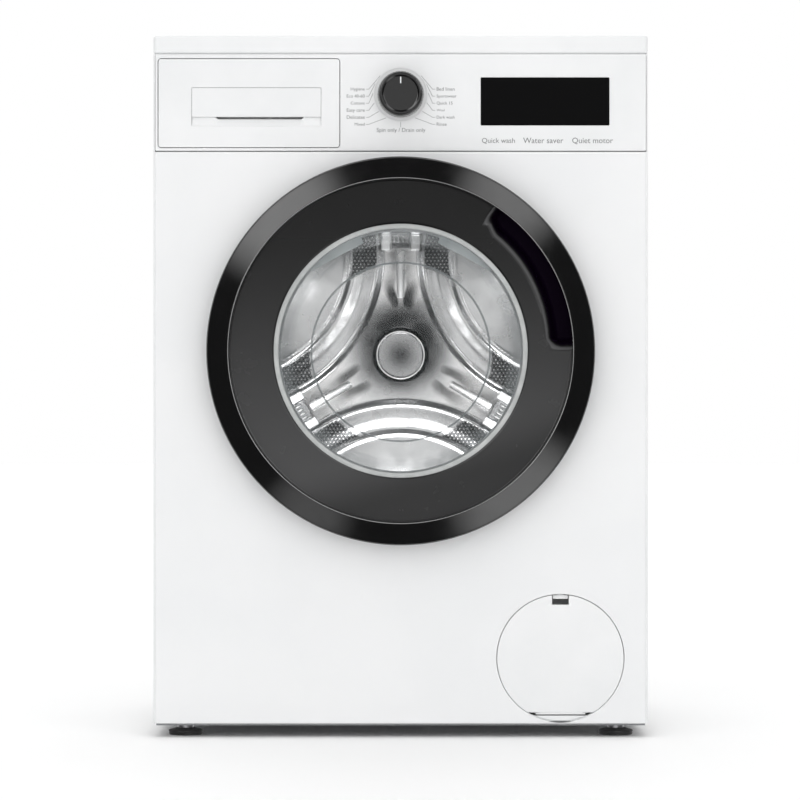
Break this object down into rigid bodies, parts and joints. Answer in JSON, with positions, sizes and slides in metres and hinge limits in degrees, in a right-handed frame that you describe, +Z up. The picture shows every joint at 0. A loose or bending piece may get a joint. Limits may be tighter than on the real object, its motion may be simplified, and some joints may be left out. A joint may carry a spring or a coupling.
{
  "type": "front-load washing machine",
  "caption": "Freestanding front-loading washing machine with an opening round glass door, turning drum, sliding detergent drawer, programme knob and service flap.",
  "frame": {"origin": "on the floor, under the middle of the overall box that encloses the door and the rear water inlet", "axes": "+X to the right seen from the front, +Y towards the back (the door faces -Y), +Z up"},
  "size_m": [0.598, 0.61, 0.848],
  "materials": {
    "white_enamel": "gloss white enamel on sheet steel",
    "white_plastic": "smooth white moulded plastic",
    "grey_plastic": "grey moulded plastic",
    "black_gloss": "polished black plastic",
    "dark_grey_gloss": "translucent dark grey plastic, polished",
    "glass": "clear pressed glass",
    "stainless": "brushed stainless steel",
    "aluminium": "as cast aluminium",
    "steel": "machined steel",
    "zinc": "zinc plated steel sheet",
    "rubber_grey": "soft grey rubber",
    "rubber_black": "black rubber",
    "concrete": "cast concrete",
    "motor_case": "laminated steel in cast aluminium end shields"
  },
  "bodies": {
    "cabinet": {"cabinet_shell": "white_enamel", "front_panel": "white_enamel", "base_tray": "grey_plastic", "worktop": "white_plastic", "rear_cover": "zinc", "control_fascia": "white_plastic", "display_window": "black_gloss", "control_module": "grey_plastic", "dispenser_housing": "grey_plastic", "hinge_bracket": "zinc", "door_lock": "rubber_black", "door_gasket": "rubber_grey", "inlet_valve": "white_plastic", "mains_gland": "rubber_black", "drain_hose": "grey_plastic", "pump_housing": "grey_plastic", "filter_recess": "white_plastic", "suspension_rail": "zinc", "suspension_spring_left": "steel", "suspension_spring_right": "steel", "damper_tube_left": "grey_plastic", "damper_tube_right": "grey_plastic", "sump_hose": "rubber_black", "fill_hose": "rubber_black"},
    "foot_front_left": {"foot_front_left": "rubber_black"},
    "foot_front_right": {"foot_front_right": "rubber_black"},
    "foot_rear_left": {"foot_rear_left": "rubber_black"},
    "foot_rear_right": {"foot_rear_right": "rubber_black"},
    "knob": {"programme_knob": "black_gloss"},
    "drawer": {"drawer_front": "white_plastic", "drawer_tray": "grey_plastic", "siphon_cap": "dark_grey_gloss"},
    "door": {"door_ring": "black_gloss", "door_cover": "dark_grey_gloss", "door_glass": "glass", "door_inner_frame": "grey_plastic", "hinge_leaf": "zinc"},
    "latch": {"latch_hook": "steel"},
    "tub": {"tub_front": "grey_plastic", "tub_rear": "grey_plastic", "counterweight_top": "concrete", "counterweight_front": "concrete", "heater": "steel", "motor_housing": "motor_case", "front_bearing": "steel", "rear_bearing": "steel", "damper_rod_left": "steel", "damper_rod_right": "steel", "drive_belt": "rubber_black"},
    "drum": {"drum_shell": "stainless", "drum_back": "stainless", "lifter_1": "stainless", "lifter_2": "stainless", "lifter_3": "stainless", "drum_spider": "aluminium", "drum_pulley": "aluminium"},
    "motor_rotor": {"motor_shaft": "steel"},
    "filter": {"filter_cap": "dark_grey_gloss"},
    "pump_rotor": {"pump_impeller": "white_plastic"},
    "flap": {"pump_flap": "white_plastic"}
  },
  "joints": [
    {"name": "door_swing", "type": "hinge", "parent": "cabinet", "child": "door", "pos_m": [-0.222, -0.283, 0.4666], "axis": [0, 0, -1], "range_deg": [0, 150]},
    {"name": "latch_turn", "type": "hinge", "parent": "door", "child": "latch", "pos_m": [0.202, -0.271, 0.4366], "axis": [0, 0, 1], "range_deg": [0, 8], "stiffness_Nm_per_rad": 0.3, "springref_deg": -5.73},
    {"name": "tub_bounce", "type": "slide", "parent": "cabinet", "child": "tub", "axis": [0, 0, 1], "range_m": [-0.012, 0.012], "stiffness_N_per_m": 12000, "springref_m": 0.0285, "deforming": ["suspension_spring_left", "suspension_spring_right", "fill_hose", "sump_hose", "door_gasket"]},
    {"name": "drum_spin", "type": "hinge", "parent": "tub", "child": "drum", "pos_m": [0, 0, 0.4666], "axis": [0, 1, 0], "continuous": true},
    {"name": "motor_spin", "type": "hinge", "parent": "tub", "child": "motor_rotor", "pos_m": [-0.06, 0, 0.14007], "axis": [0, 1, 0], "continuous": true},
    {"name": "drawer_slide", "type": "slide", "parent": "cabinet", "child": "drawer", "axis": [0, -1, 0], "range_m": [0, 0.2]},
    {"name": "knob_turn", "type": "hinge", "parent": "cabinet", "child": "knob", "pos_m": [0, -0.273, 0.7767], "axis": [0, -1, 0], "continuous": true},
    {"name": "flap_swing", "type": "hinge", "parent": "cabinet", "child": "flap", "pos_m": [0.193, -0.2619, 0.0285], "axis": [1, 0, 0], "range_deg": [0, 95]},
    {"name": "filter_turn", "type": "hinge", "parent": "cabinet", "child": "filter", "pos_m": [0.193, -0.223, 0.0966], "axis": [0, -1, 0], "range_deg": [0, 90]},
    {"name": "pump_spin", "type": "hinge", "parent": "cabinet", "child": "pump_rotor", "pos_m": [0.193, -0.151, 0.0966], "axis": [0, 1, 0], "continuous": true},
    {"name": "foot_front_left_turn", "type": "hinge", "parent": "cabinet", "child": "foot_front_left", "pos_m": [-0.262, -0.218, 0.006], "axis": [0, 0, 1], "continuous": true},
    {"name": "foot_front_right_turn", "type": "hinge", "parent": "cabinet", "child": "foot_front_right", "pos_m": [0.262, -0.218, 0.006], "axis": [0, 0, 1], "continuous": true},
    {"name": "foot_rear_left_turn", "type": "hinge", "parent": "cabinet", "child": "foot_rear_left", "pos_m": [-0.262, 0.242, 0.006], "axis": [0, 0, 1], "continuous": true},
    {"name": "foot_rear_right_turn", "type": "hinge", "parent": "cabinet", "child": "foot_rear_right", "pos_m": [0.262, 0.242, 0.006], "axis": [0, 0, 1], "continuous": true}
  ],
  "couplings": [
    {"joint": "motor_spin", "follows": "drum_spin", "ratio": 15.737}
  ]
}
